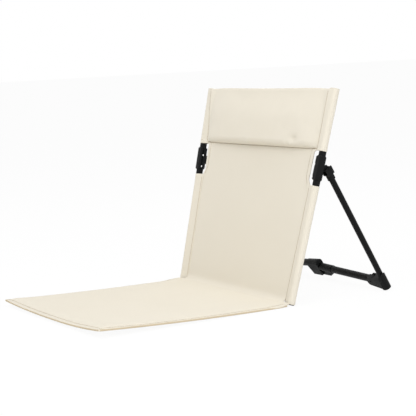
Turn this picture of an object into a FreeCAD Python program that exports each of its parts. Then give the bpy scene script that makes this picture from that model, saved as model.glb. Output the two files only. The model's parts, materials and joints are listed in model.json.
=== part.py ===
"""Folding floor chair: a reclined back on two splayed posts, a seat mat and a folding rear frame.

Millimetres. +Z is up, the sitter faces -Y and +X is the sitter's left. The origin is on the floor,
under the middle of the seat mat. Left pieces are built, and right ones are their mirror images in
the plane X = 0, apart from the two unlike halves of the middle knuckle.
"""

import FreeCAD, Part
import math
import os
import Sketcher

# Driving dimensions, in millimetres and degrees
SIZES = {
    "seat_length": 440.0,
    "front_width": 450.0,
    "mat_thickness": 8.0,
    "mat_edge": 3.0,
    "mat_rear_height": 6.2,
    "mat_border": 28.0,
    "binding_width": 1.6,
    "back_length": 450.0,
    "bottom_width": 450.0,
    "top_width": 498.0,
    "recline": 15.0,
    "fabric": 1.0,
    "panel_thickness": 2.4,
    "panel_height": 5.0,
    "fold_reach": 14.0,
    "seam_inset": 20.0,
    "cutout_reach": 27.0,
    "cutout_slope": 10.0,
    "headrest_height": 125.0,
    "headrest_thickness": 18.0,
    "headrest_edge": 4.0,
    "post_od": 13.0,
    "post_wall": 1.2,
    "plug_flange": 3.0,
    "plug_stem": 12.0,
    "leg_od": 12.7,
    "leg_wall": 1.0,
    "strut_od": 16.0,
    "strut_wall": 1.2,
    "play": 0.3,
    "snug": 0.05,
    "pin_play": 0.06,
    "pivot_height": 286.0,
    "pivot_setback": 18.0,
    "web_root": 3.0,
    "foot_reach": 241.0,
    "foot_height": 20.0,
    "housing_bottom": 258.0,
    "housing_length": 52.5,
    "housing_half_width": 9.0,
    "housing_front": 9.0,
    "housing_rear": 8.0,
    "housing_corner": 3.5,
    "housing_shoulder": 2.5,
    "collar_radius": 7.6,
    "bottom_collar": 10.0,
    "top_collar": 8.5,
    "flange_reach": 15.0,
    "flange_thickness": 3.0,
    "flange_margin": 3.0,
    "flange_rivet_reach": 11.6,
    "upper_rivet_height": 291.0,
    "lower_rivet_height": 265.0,
    "tongue_eye_radius": 6.5,
    "tongue_eye_half_width": 5.0,
    "cheek_play": 0.8,
    "cheek_thickness": 3.2,
    "socket_radius": 8.3,
    "socket_head": 4.0,
    "slot_depth": 10.5,
    "leg_pin_radius": 2.5,
    "socket_length": 25.0,
    "socket_start": 13.0,
    "rivet_radius": 1.6,
    "pin_end": 0.8,
    "tool_margin": 5.0,
    "boot_radius": 9.5,
    "boot_half_width": 10.0,
    "boot_top": 22.0,
    "cup_reserve": 4.0,
    "boot_tip_drop": 15.0,
    "boot_bottom": 18.0,
    "notch_height": 9.0,
    "boot_floor_depth": 8.0,
    "strut_inset": 36.0,
    "strut_rise": 8.0,
    "fork_clearance": 1.5,
    "tongue_half_width": 5.4,
    "tongue_radius": 8.0,
    "boot_pin_radius": 2.2,
    "strut_plug_length": 18.0,
    "stem_share": 0.7,
    "knuckle_step": 11.0,
    "knuckle_reach": 42.0,
    "knuckle_radius": 9.0,
    "knuckle_seat": 8.0,
    "knuckle_gap": 0.1,
    "pin_drop": 12.0,
    "lug_radius": 6.2,
    "lug_flat": 30.0,
    "lug_half_width": 5.0,
    "lug_clearance": 10.2,
    "knuckle_pin_radius": 2.0,
}


def text_of(value):
    """The sheet formula of a value, or the number itself."""
    return value.text if isinstance(value, Dim) else repr(float(value))


class Dim(float):
    """A number that keeps the formula on the sheet it was worked out by."""

    def __new__(cls, value, text):
        made = super().__new__(cls, value)
        made.text = text
        return made

    def __add__(self, other):
        return Dim(float(self) + float(other), f"({self.text} + {text_of(other)})")

    def __radd__(self, other):
        return Dim(float(other) + float(self), f"({text_of(other)} + {self.text})")

    def __sub__(self, other):
        return Dim(float(self) - float(other), f"({self.text} - {text_of(other)})")

    def __rsub__(self, other):
        return Dim(float(other) - float(self), f"({text_of(other)} - {self.text})")

    def __mul__(self, other):
        return Dim(float(self) * float(other), f"({self.text} * {text_of(other)})")

    def __rmul__(self, other):
        return Dim(float(other) * float(self), f"({text_of(other)} * {self.text})")

    def __truediv__(self, other):
        return Dim(float(self) / float(other), f"({self.text} / {text_of(other)})")

    def __neg__(self):
        return Dim(-float(self), f"(0 - {self.text})")


def sine(angle):
    return Dim(math.sin(math.radians(angle)), f"sin({angle.text})")


def cosine(angle):
    return Dim(math.cos(math.radians(angle)), f"cos({angle.text})")


def slope_angle(rise, run):
    ratio = rise / run
    return Dim(math.degrees(math.atan(ratio)), f"(atan({ratio.text}) / 1 deg)")


def root(value):
    return Dim(math.sqrt(value), f"sqrt({value.text})")


doc = FreeCAD.newDocument("floor_chair")
sheet = doc.addObject("Spreadsheet::Sheet", "Sizes")
for row, (alias, number) in enumerate(SIZES.items(), start=1):
    sheet.set(f"A{row}", alias)
    sheet.set(f"B{row}", str(number))
    sheet.setAlias(f"B{row}", alias)
doc.recompute()


class Sheet:
    """Reads each size by name, with its formula."""

    def __getattr__(self, alias):
        return Dim(SIZES[alias], f"Sizes.{alias}")


s = Sheet()


class Frame:
    """A place to build in: turns about X or Y, then a shift, as one placement formula."""

    def __init__(self, base, turns=(), text=None, placement=None):
        if text is None:
            where = "; ".join(text_of(v) for v in base)
            turned = " * ".join(f"rotation{axis}({text_of(angle)})" for axis, angle in turns)
            text = f"placement(vector({where}); {turned or 'rotationx(0)'})"
            placement = FreeCAD.Placement(FreeCAD.Vector(*[float(v) for v in base]), FreeCAD.Rotation())
            for axis, angle in turns:
                about = FreeCAD.Vector(1, 0, 0) if axis == "x" else FreeCAD.Vector(0, 1, 0)
                placement = placement * FreeCAD.Placement(
                    FreeCAD.Vector(), FreeCAD.Rotation(about, float(angle))
                )
        self.text = text
        self.placement = placement

    def __mul__(self, other):
        return Frame(None, text=f"{self.text} * {other.text}", placement=self.placement * other.placement)

    def at(self, x, y, z, turns=()):
        return self * Frame((x, y, z), turns)


# Places worked out from the driving dimensions
back_line = s.seat_length / 2
post_radius = s.post_od / 2
sleeve_inner = post_radius + s.play
sleeve_radius = sleeve_inner + s.fabric
post_spacing = s.bottom_width / 2 - sleeve_radius
splay = slope_angle((s.top_width - s.bottom_width) / 2, s.back_length)
post_upright = cosine(splay) * cosine(s.recline)
post_lift = post_radius * root(1.0 - post_upright * post_upright)
pivot_x = post_spacing + s.pivot_height * sine(splay)
pivot_y = back_line + s.pivot_height * cosine(splay) * sine(s.recline) + s.pivot_setback * cosine(s.recline)
pivot_z = post_lift + s.pivot_height * post_upright - s.pivot_setback * sine(s.recline)
foot_y = back_line + s.foot_reach
leg_run = foot_y - pivot_y
leg_rise = pivot_z - s.foot_height
lean = slope_angle(leg_run, leg_rise)
leg_in_plane = root(leg_run * leg_run + leg_rise * leg_rise)
leg_splay = slope_angle(pivot_x - post_spacing, leg_in_plane)
leg_span = leg_in_plane / cosine(leg_splay)
strut_half = post_spacing - s.strut_inset
rise_angle = slope_angle(s.strut_rise, strut_half)
strut_span = strut_half / cosine(rise_angle)

world = Frame((0, 0, 0))
post = Frame((post_spacing, back_line, post_lift), [("x", -s.recline), ("y", splay)])
hinge = Frame((pivot_x, pivot_y, pivot_z), [("x", -s.recline)])
leg = Frame((pivot_x, pivot_y, pivot_z), [("x", lean), ("y", leg_splay)])
foot = Frame((post_spacing, foot_y, s.foot_height), [("x", lean)])
cup = foot.at(0, 0, 0, [("y", leg_splay)])
strut = foot.at(-s.strut_inset, 0, 0, [("y", rise_angle - 90.0)])
high_angle = slope_angle(s.strut_rise + s.knuckle_step, strut_half)
high_span = strut_half / cosine(high_angle)
high_strut = foot.at(-s.strut_inset, 0, 0, [("y", high_angle - 90.0)])
knuckle = Frame((0, foot_y, s.foot_height), [("x", lean)]).at(0, 0, s.strut_rise - s.pin_drop)

BIG = 60.0
FAR = 900.0
made = []


def bind(thing, **values):
    for name, value in values.items():
        if isinstance(value, Dim):
            thing.setExpression(name, value.text)
        else:
            setattr(thing, name, float(value))


def place(thing, frame):
    thing.setExpression("Placement", frame.text)
    return thing


def box(name, x, y, z, frame=world):
    """A box between two values on each axis of a frame."""
    thing = doc.addObject("Part::Box", name)
    bind(thing, Length=x[1] - x[0], Width=y[1] - y[0], Height=z[1] - z[0])
    return place(thing, frame.at(x[0], y[0], z[0]))


UPRIGHT = ()
ALONG_X = (("y", 90.0),)
ALONG_Y = (("x", -90.0),)


def rod(name, radius, start, end, frame, at=(0, 0, 0), along=UPRIGHT):
    """A cylinder from start to end along one axis of a frame, through the point at."""
    thing = doc.addObject("Part::Cylinder", name)
    bind(thing, Radius=radius, Height=end - start)
    return place(thing, frame.at(*at, turns=along).at(0, 0, start))


def fuse(name, *parts):
    thing = doc.addObject("Part::MultiFuse", name)
    thing.Shapes = list(parts)
    thing.Refine = True
    return thing


def cut(name, base, *tools):
    for number, tool in enumerate(tools):
        thing = doc.addObject("Part::Cut", f"{name}_{number}")
        thing.Base = base
        thing.Tool = tool
        base = thing
    return base


def group(name, *parts):
    """Separate solids kept as one piece."""
    thing = doc.addObject("Part::Compound", name)
    thing.Links = list(parts)
    return thing


def keep(node, thing):
    thing.Label = node
    made.append(thing)
    return thing


def mirrored(name, thing):
    twin = doc.addObject("Part::Mirroring", name)
    twin.Source = thing
    twin.Normal = (1, 0, 0)
    return twin


def both_sides(piece, thing):
    """Keeps a left piece and its right twin."""
    keep(f"left_{piece}", thing)
    keep(f"right_{piece}", mirrored(f"right_{piece}", thing))


def outline(body, name, plane, points):
    """A closed sketch of straight lines whose corners are all bound to the sheet."""
    sketch = body.newObject("Sketcher::SketchObject", name)
    sketch.AttachmentSupport = [(next(o for o in body.Origin.OriginFeatures if o.Role == plane), "")]
    sketch.MapMode = "FlatFace"
    corners = [FreeCAD.Vector(float(x), float(y), 0) for x, y in points]
    count = len(corners)
    for i in range(count):
        sketch.addGeometry(Part.LineSegment(corners[i], corners[(i + 1) % count]))
    for i in range(count):
        sketch.addConstraint(Sketcher.Constraint("Coincident", i, 2, (i + 1) % count, 1))
    for i, point in enumerate(points):
        for kind, value in zip(("DistanceX", "DistanceY"), point):
            number = sketch.addConstraint(Sketcher.Constraint(kind, -1, 1, i, 1, float(value)))
            if isinstance(value, Dim):
                sketch.setExpression(f"Constraints[{number}]", value.text)
    return sketch


def prism(name, points, half_width, frame):
    """A body padded both ways from an outline in the XZ plane of a frame."""
    body = doc.addObject("PartDesign::Body", name)
    sketch = outline(body, f"{name}_outline", "XZ_Plane", points)
    pad = body.newObject("PartDesign::Pad", f"{name}_pad")
    pad.Profile = sketch
    pad.Midplane = True
    bind(pad, Length=half_width * 2.0)
    return place(body, frame)


def tube(name, outer, wall, start, end, frame):
    return cut(
        name,
        rod(f"{name}_outside", outer / 2, start, end, frame),
        rod(f"{name}_bore", outer / 2 - wall, start - 1.0, end + 1.0, frame),
    )


def dowel(name, radius, reach, frame, at, along=ALONG_Y):
    """A plain pin from -reach to +reach."""
    return rod(name, radius, -reach, reach, frame, at, along)


def stem(name, tube_inner, reach, frame):
    """A square stem that fits inside a tube."""
    half = (tube_inner - s.snug) * s.stem_share
    return box(name, (-half, half), (-half, half), (0.0, reach), frame)


def plug(name, frame):
    """A plug in a post's end: a flange on the end face, and a stem inside the tube."""
    return fuse(
        name,
        rod(f"{name}_flange", s.post_od / 2, 0.0, s.plug_flange, frame),
        stem(f"{name}_stem", s.post_od / 2 - s.post_wall, s.plug_flange + s.plug_stem, frame),
    )


# Back posts and their end plugs

post_end = s.back_length - s.fabric - s.play - s.plug_flange
both_sides("post_tube", tube("post_tube", s.post_od, s.post_wall, s.plug_flange, post_end, post))
cap_frame = post.at(0, 0, post_end + s.plug_flange, [("x", 180.0)])
foot_and_cap = group(
    "post_plugs",
    plug("post_foot", post),
    plug("post_cap", cap_frame),
)
both_sides("post_plugs", foot_and_cap)


# Moulded hinge housing: two halves round the post, joined by two rivets through an inner flange

housing_top = s.housing_bottom + s.housing_length
collar_bottom = s.housing_bottom - s.bottom_collar
collar_top = housing_top + s.top_collar
housing_span = (collar_bottom - s.tool_margin, collar_top + s.tool_margin)
rivet_heights = (s.upper_rivet_height, s.lower_rivet_height)


def edges_at_ends(shape, length, sign):
    """Names the outer edges on a padded half shell's two end faces, away from the split."""
    names = []
    for number, edge in enumerate(shape.Edges, start=1):
        low, high = edge.BoundBox, edge.BoundBox
        on_end = abs(low.ZMin - high.ZMax) < 1e-6 and min(abs(low.ZMin), abs(low.ZMin - length)) < 1e-6
        off_split = abs(edge.CenterOfMass.y) > 0.5 and edge.CenterOfMass.y * sign > 0
        if on_end and off_split:
            names.append(f"Edge{number}")
    return names


def half_shell(name, depth, sign):
    """One half of the housing without its bore: the chamfered body, its collars and its flange."""
    body = doc.addObject("PartDesign::Body", f"{name}_body")
    wide = s.housing_half_width
    corner = s.housing_corner
    sketch = outline(
        body,
        f"{name}_section",
        "XY_Plane",
        [
            (-wide, 0.0),
            (-wide, (depth - corner) * sign),
            (-(wide - corner), depth * sign),
            (wide - corner, depth * sign),
            (wide, (depth - corner) * sign),
            (wide, 0.0),
        ],
    )
    pad = body.newObject("PartDesign::Pad", f"{name}_pad")
    pad.Profile = sketch
    bind(pad, Length=s.housing_length)
    doc.recompute()
    shoulder = body.newObject("PartDesign::Chamfer", f"{name}_shoulders")
    shoulder.Base = (pad, edges_at_ends(pad.Shape, float(s.housing_length), sign))
    bind(shoulder, Size=s.housing_shoulder)
    body.Tip = shoulder
    place(body, post.at(0, 0, s.housing_bottom))

    near, far = (-s.flange_thickness, 0.0) if sign < 0 else (0.0, s.flange_thickness)
    flange = box(
        f"{name}_flange",
        (-s.flange_reach, -(wide - 1.0)),
        (near, far),
        (s.housing_bottom + s.flange_margin, housing_top - s.flange_margin),
        post,
    )
    collars = rod(f"{name}_collars", s.collar_radius, collar_bottom, collar_top, post)
    behind = (0.0, BIG) if sign < 0 else (-BIG, 0.0)
    half = cut(
        f"{name}_collar_half",
        collars,
        box(f"{name}_split", (-BIG, BIG), behind, housing_span, post),
    )
    return fuse(f"{name}_blank", body, flange, half)


def finish_half(name, blank):
    """Cuts the post's bore and the rivet holes."""
    tools = [rod(f"{name}_bore", post_radius + s.snug, *housing_span, post)]
    for number, height in enumerate(rivet_heights):
        where = (-s.flange_rivet_reach, 0, height)
        tools.append(rod(f"{name}_hole_{number}", s.rivet_radius, -BIG, BIG, post, where, ALONG_Y))
    return cut(name, blank, *tools)


both_sides("front_shell", finish_half("front_shell", half_shell("front_half", s.housing_front, -1.0)))

tongue_eye = rod(
    "tongue_eye",
    s.tongue_eye_radius,
    -s.tongue_eye_half_width,
    s.tongue_eye_half_width,
    hinge,
    along=ALONG_X,
)
tongue_web = box(
    "tongue_web",
    (-s.tongue_eye_half_width, s.tongue_eye_half_width),
    (s.web_root - s.pivot_setback, 0.0),
    (-s.tongue_eye_radius, s.tongue_eye_radius),
    hinge,
)
rear_blank = fuse("rear_blank", half_shell("rear_half", s.housing_rear, 1.0), tongue_eye, tongue_web)
rear_clevis = finish_half("rear_clevis", rear_blank)
pin_hole = rod("leg_pin_hole", s.leg_pin_radius, -BIG, BIG, hinge, along=ALONG_X)
both_sides("rear_clevis", cut("rear_clevis_drilled", rear_clevis, pin_hole))

both_sides(
    "flange_rivets",
    group(
        "flange_rivets",
        *[
            dowel(
                f"flange_rivet_{number}",
                s.rivet_radius,
                s.flange_thickness + s.pin_end,
                post,
                (-s.flange_rivet_reach, 0, height),
            )
            for number, height in enumerate(rivet_heights)
        ],
    ),
)

cheek_outside = s.tongue_eye_half_width + s.cheek_play + s.cheek_thickness
both_sides(
    "leg_pin",
    dowel("leg_pin", s.leg_pin_radius, cheek_outside + s.pin_end, hinge, (0, 0, 0), ALONG_X),
)


# Rear legs: a tube, and a moulded socket whose two cheeks hold the housing's tongue

leg_bore = s.leg_od / 2 + s.snug
leg_bottom = leg_span + s.boot_floor_depth
slot_half = s.tongue_eye_half_width + s.cheek_play

both_sides("leg_tube", tube("leg_tube", s.leg_od, s.leg_wall, -leg_bottom, -s.socket_start, leg))

socket = fuse(
    "socket_blank",
    rod("socket_barrel", s.socket_radius, -s.socket_length, -s.slot_depth, leg),
    box(
        "socket_cheeks",
        (-cheek_outside, cheek_outside),
        (-s.socket_radius, s.socket_radius),
        (-s.socket_start, s.socket_head),
        leg,
    ),
)
both_sides(
    "leg_socket",
    cut(
        "leg_socket",
        socket,
        box("socket_slot", (-slot_half, slot_half), (-BIG, BIG), (-s.slot_depth, BIG), leg),
        rod("socket_bore", leg_bore, -(s.socket_length + 1.0), -s.socket_start, leg),
        rod("socket_pin_hole", s.leg_pin_radius + s.pin_play, -BIG, BIG, hinge, along=ALONG_X),
    ),
)


# Boot: a moulded foot with a cup for the leg and a fork for the cross strut

ear_centre = (-s.strut_inset, 0, 0)
boot_block = prism(
    "boot_block",
    [
        (-s.strut_inset, -s.boot_radius),
        (0.0, -s.boot_tip_drop),
        (0.0, s.boot_radius),
        (-s.strut_inset, s.boot_radius),
    ],
    s.boot_half_width,
    foot,
)
boot_ear = rod(
    "boot_ear", s.boot_radius, -s.boot_half_width, s.boot_half_width, foot, ear_centre, ALONG_Y
)
boot_cup = rod("boot_cup", s.boot_radius, -s.boot_bottom, s.boot_top + s.cup_reserve, cup)
notch_reach = s.boot_radius + 3.0
cup_notch = prism(
    "cup_notch",
    [
        (-1.0, s.notch_height),
        (notch_reach, s.boot_top + 2.5),
        (notch_reach, s.boot_top + BIG / 2),
        (-notch_reach, s.boot_top + BIG / 2),
        (-notch_reach, s.boot_radius + 1.0),
    ],
    s.boot_radius + s.tool_margin,
    foot,
)
fork_radius = s.boot_radius + s.fork_clearance
fork_half_gap = s.tongue_half_width + s.play
boot = cut(
    "boot",
    fuse("boot_blank", boot_block, boot_ear, boot_cup),
    box(
        "boot_fork_gap",
        (-BIG, fork_radius - s.strut_inset),
        (-fork_half_gap, fork_half_gap),
        (-fork_radius, fork_radius),
        foot,
    ),
    rod("boot_leg_bore", leg_bore, -s.boot_floor_depth, s.boot_top + BIG, cup),
    cup_notch,
    rod("boot_pin_hole", s.boot_pin_radius, -BIG, BIG, foot, ear_centre, ALONG_Y),
    box("floor", (0.0, FAR), (0.0, FAR), (-BIG, 0.0)),
)
both_sides("boot", boot)
both_sides(
    "boot_pin",
    dowel("boot_pin", s.boot_pin_radius, s.boot_half_width + s.pin_end, foot, ear_centre),
)


# Cross strut halves: a tube, and a plug with the tongue that the boot holds

strut_start = fork_radius


def strut_tube(name, frame, span):
    return tube(name, s.strut_od, s.strut_wall, strut_start, span - s.knuckle_seat, frame)


def strut_plug(name, frame):
    tongue = rod(
        f"{name}_round",
        s.tongue_radius,
        -s.tongue_half_width,
        s.tongue_half_width,
        foot,
        ear_centre,
        ALONG_Y,
    )
    neck = box(
        f"{name}_neck",
        (-s.tongue_radius, s.tongue_radius),
        (-s.tongue_half_width, s.tongue_half_width),
        (0.0, strut_start - s.play),
        frame,
    )
    inside = s.strut_od / 2 - s.strut_wall
    blank = fuse(
        f"{name}_blank",
        tongue,
        neck,
        stem(f"{name}_stem", inside, strut_start + s.strut_plug_length, frame),
    )
    hole = rod(f"{name}_hole", s.boot_pin_radius + s.pin_play, -BIG, BIG, foot, ear_centre, ALONG_Y)
    return cut(name, blank, hole)


keep("left_strut_tube", strut_tube("low_tube", strut, strut_span))
keep("right_strut_tube", mirrored("right_strut_tube", strut_tube("high_tube", high_strut, high_span)))
keep("left_strut_end", strut_plug("low_plug", strut))
keep("right_strut_end", mirrored("right_strut_end", strut_plug("high_plug", high_strut)))

# Knuckle: the strut halves meet above a low pin, so the middle can only fold upwards

lug_slope_end = s.lug_flat + s.pin_drop
cheek_inside = s.lug_half_width + s.play
lug_room = (-s.lug_clearance, s.lug_clearance)


def knuckle_socket(name, frame, span):
    """The barrel on a strut's end, cut off square in the middle of the chair."""
    barrel = rod(f"{name}_barrel", s.knuckle_radius, span - s.knuckle_reach, span + 2.0, frame)
    face = box(f"{name}_face", (-BIG, s.knuckle_gap), (-BIG, BIG), (-BIG, BIG), knuckle)
    return cut(f"{name}_barrel_end", barrel, face)


def lug(name, half_width, top):
    """The strip under a barrel, with a round end about the pin."""
    points = [
        (0.0, -s.lug_radius),
        (s.lug_flat, -s.lug_radius),
        (lug_slope_end, top - s.lug_radius / 2),
        (lug_slope_end, top),
        (s.knuckle_gap, top),
        (s.knuckle_gap, 0.0),
        (0.0, 0.0),
    ]
    return [
        prism(f"{name}_strip", points, half_width, knuckle),
        rod(f"{name}_round", s.lug_radius, -half_width, half_width, knuckle, along=ALONG_Y),
    ]


def drilled(name, blank, pin_radius, frame, span):
    start = span - s.knuckle_reach - 1.0
    return cut(
        name,
        blank,
        rod(f"{name}_bore", s.strut_od / 2 + s.snug, start, span - s.knuckle_seat, frame),
        rod(f"{name}_pin_hole", pin_radius, -BIG, BIG, knuckle, along=ALONG_Y),
    )


tongue_body = cut(
    "tongue_body",
    knuckle_socket("tongue", strut, strut_span),
    box("tongue_front_gap", lug_room, (-BIG, -s.lug_half_width), lug_room, knuckle),
    box("tongue_rear_gap", lug_room, (s.lug_half_width, BIG), lug_room, knuckle),
)
tongue_blank = fuse("tongue_blank", tongue_body, *lug("tongue", s.lug_half_width, s.lug_radius))
tongue_hole = s.knuckle_pin_radius + s.pin_play
keep(
    "left_knuckle_tongue",
    drilled("left_knuckle_tongue", tongue_blank, tongue_hole, strut, strut_span),
)

fork_lug = cut(
    "fork_lug",
    fuse("fork_lug_blank", *lug("fork", s.knuckle_radius, s.pin_drop + s.knuckle_step)),
    box("fork_lug_gap", (-BIG, BIG), (-cheek_inside, cheek_inside), (-BIG, BIG), knuckle),
)
fork_blank = fuse("fork_blank", knuckle_socket("fork", high_strut, high_span), fork_lug)
fork = drilled("fork_drilled", fork_blank, s.knuckle_pin_radius, high_strut, high_span)
keep("right_knuckle_fork", mirrored("right_knuckle_fork", fork))
keep(
    "knuckle_pin",
    dowel("knuckle_pin", s.knuckle_pin_radius, s.knuckle_radius + s.pin_end, knuckle, (0, 0, 0)),
)


# Fabric sleeves round the posts, above and below the housing

sleeve_bottom = s.plug_flange


def sleeve(name, start, end, closed):
    flap = box(
        f"{name}_flap",
        (-s.seam_inset, -(sleeve_radius - 1.0)),
        (-s.fabric, s.fabric),
        (start, end),
        post,
    )
    outside = rod(f"{name}_outside", sleeve_radius, start, end, post)
    bore_end = end - s.fabric if closed else end + 1.0
    bore = rod(f"{name}_bore", sleeve_inner, start - 1.0, bore_end, post)
    return cut(name, fuse(f"{name}_blank", outside, flap), bore)


both_sides(
    "lower_sleeve", sleeve("lower_sleeve", sleeve_bottom, collar_bottom - s.play, closed=False)
)
both_sides("upper_sleeve", sleeve("upper_sleeve", collar_top + s.play, s.back_length, closed=True))


# Soft pieces, set by their own outlines and worked out from the sheet's numbers


def vec(x, y, z):
    return FreeCAD.Vector(float(x), float(y), float(z))


def soft(name, shape):
    thing = doc.addObject("Part::Feature", name)
    thing.Shape = shape
    thing.Placement = FreeCAD.Placement()
    return keep(name, thing)


def in_post(x, y, z):
    return post.placement.multVec(vec(x, y, z))


recline = math.radians(s.recline)
panel_half = s.panel_thickness / 2


def back_profile(offset):
    """The panel seen from the side, at an offset from its middle: down the back and round the fold."""
    down = vec(0, -math.sin(recline), -math.cos(recline))
    normal = vec(0, math.cos(recline), -math.sin(recline))
    meet = back_line - (post_lift - s.panel_height) * math.tan(recline)
    turn = math.pi / 2 - recline
    reach = meet - (back_line - s.fold_reach)
    radius = reach / math.tan(turn / 2)
    knee = vec(0, meet, s.panel_height)
    start = knee - down * float(reach)
    end = vec(0, back_line - s.fold_reach, s.panel_height)
    centre = vec(0, back_line - s.fold_reach, s.panel_height + radius)
    middle = centre + (start + end - centre * 2).normalize() * float(radius)
    top = vec(0, back_line, post_lift) - down * float(s.back_length)
    pull = {}
    for key, point in (("start", start), ("middle", middle), ("end", end)):
        pull[key] = point + (point - centre).normalize() * float(offset)
    return top + normal * float(offset), pull["start"], pull["middle"], pull["end"]


def panel_shape():
    front = back_profile(-panel_half)
    rear = back_profile(panel_half)
    wire = Part.Wire(
        [
            Part.LineSegment(front[0], front[1]).toShape(),
            Part.Arc(front[1], front[2], front[3]).toShape(),
            Part.LineSegment(front[3], rear[3]).toShape(),
            Part.Arc(rear[3], rear[2], rear[1]).toShape(),
            Part.LineSegment(rear[1], rear[0]).toShape(),
            Part.LineSegment(rear[0], front[0]).toShape(),
        ]
    )
    wide = float(s.bottom_width) / 2
    sheet_solid = Part.Face(wire).extrude(vec(s.top_width, 0, 0))
    sheet_solid.translate(vec(-(s.top_width / 2), 0, 0))
    for part in panel_tools(wide):
        sheet_solid = sheet_solid.cut(part)
        sheet_solid = sheet_solid.cut(part.mirror(vec(0, 0, 0), vec(1, 0, 0)))
    return sheet_solid


def panel_tools(wide):
    """What the left seam line, the housing's cut-out and the mat's width take off the panel."""
    clear = float(sleeve_radius + s.play)
    edge = -float(s.seam_inset + s.play)
    beside = Part.makeBox(BIG * 2, BIG, float(s.back_length) + BIG, vec(edge, -clear, -BIG / 2))
    beside.Placement = post.placement
    outside = Part.makeBox(FAR, BIG, BIG, vec(wide, back_line - BIG / 2 - s.fold_reach, -BIG / 2))
    inner = -float(s.cutout_reach)
    low, high = float(collar_bottom - s.play), float(collar_top + s.play)
    slope = float(s.cutout_slope)
    corners = [(edge, low), (inner, low + slope), (inner, high), (0, high), (0, low), (edge, low)]
    notch = Part.Face(Part.makePolygon([in_post(x, -BIG / 2, z) for x, z in corners]))
    depth = in_post(0, BIG, 0) - in_post(0, 0, 0)
    return [beside, outside, notch.extrude(depth)]


soft("back_panel", panel_shape())


def headrest_shape():
    """A crowned pad: sections across the back, thin at the seams and full in the middle."""
    base = -float(panel_half + s.play)
    low = float(s.back_length - s.headrest_height)
    high = float(s.back_length) - 1.0
    sections = []
    for share in (-1.0, -0.94, -0.75, -0.3, 0.0, 0.3, 0.75, 0.94, 1.0):
        swell = max((1.0 - abs(share) ** 5) ** 0.5, 0.15)
        edge = float(s.headrest_edge) * (0.4 + 0.6 * swell)
        thick = edge + (float(s.headrest_thickness) - edge) * swell

        def spot(y, z):
            half = post_spacing + z * sine(splay) - s.seam_inset - s.play
            return vec(
                share * half,
                back_line + z * sine(s.recline) + y * cosine(s.recline),
                post_lift + z * cosine(s.recline) - y * sine(s.recline),
            )

        corners = (spot(base, low), spot(base - edge, low), spot(base - edge, high), spot(base, high))
        crown = spot(base - thick, (low + high) / 2)
        sections.append(
            Part.Wire(
                [
                    Part.LineSegment(corners[0], corners[1]).toShape(),
                    Part.Arc(corners[1], crown, corners[2]).toShape(),
                    Part.LineSegment(corners[2], corners[3]).toShape(),
                    Part.LineSegment(corners[3], corners[0]).toShape(),
                ]
            )
        )
    return Part.makeLoft(sections, True, True)


soft("headrest_pad", headrest_shape())

mat_rear = back_line - s.fold_reach - s.play
mat_front = -back_line + s.binding_width
front_half = s.front_width / 2 - s.binding_width
rear_half = s.bottom_width / 2 - s.binding_width


def mat_shape():
    """A thin padded mat: sections along the seat, low at the hems, on a flat underside."""
    edge = float(s.mat_edge)
    rear_rise = float(s.mat_rear_height) - edge
    full_rise = float(s.mat_thickness) - edge
    border = float(s.mat_border)
    sections = []
    for share, rise in ((0.0, 0.2), (0.09, full_rise * 0.92), (0.5, full_rise), (1.0, rear_rise)):
        y = float(mat_front) + float(mat_rear - mat_front) * share
        half = float(front_half) + float(rear_half - front_half) * share
        shoulder = vec(half - border, y, edge + rise * 0.9)
        corners = [vec(half, y, edge), vec(half, y, 0), vec(-half, y, 0), vec(-half, y, edge)]
        far_shoulder = vec(-shoulder.x, y, shoulder.z)
        crown = Part.Arc(far_shoulder, vec(0, y, edge + rise), shoulder).toShape()
        runs = [shoulder, *corners, far_shoulder]
        lines = [Part.LineSegment(a, b).toShape() for a, b in zip(runs, runs[1:])]
        sections.append(Part.Wire([*lines, crown]))
    return Part.makeLoft(sections, True, True)


soft("seat_mat", mat_shape())


def binding_shape():
    """The tape on the mat's front and side edges."""
    lift = float(s.play)
    outer = [
        vec(-(s.front_width / 2), -back_line, lift),
        vec(s.front_width / 2, -back_line, lift),
        vec(s.bottom_width / 2, mat_rear, lift),
        vec(rear_half, mat_rear, lift),
        vec(front_half, mat_front, lift),
        vec(-front_half, mat_front, lift),
        vec(-rear_half, mat_rear, lift),
        vec(-(s.bottom_width / 2), mat_rear, lift),
    ]
    face = Part.Face(Part.makePolygon(outer + outer[:1]))
    return face.extrude(vec(0, 0, s.mat_edge))


soft("seat_edge_binding", binding_shape())


# Checks and export

doc.recompute()
for thing in doc.Objects:
    for word in ("Invalid", "Error"):
        if word in thing.State:
            raise RuntimeError(f"{thing.Label} is {word}")
os.makedirs("parts", exist_ok=True)
for thing in made:
    shape = thing.Shape
    if shape.isNull() or not shape.isValid() or not shape.Solids:
        raise RuntimeError(f"{thing.Label} has no valid solid")
    shape.exportStep(f"parts/{thing.Label}.step")
    print(thing.Label, len(shape.Solids), round(shape.Volume, 1))
print("total nodes", len(made))
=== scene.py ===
"""The folding floor chair's looks: canvas, stitching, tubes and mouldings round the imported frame."""

import json
import math

import bpy
import numpy as np
from mathutils import Matrix, Vector, noise


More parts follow.
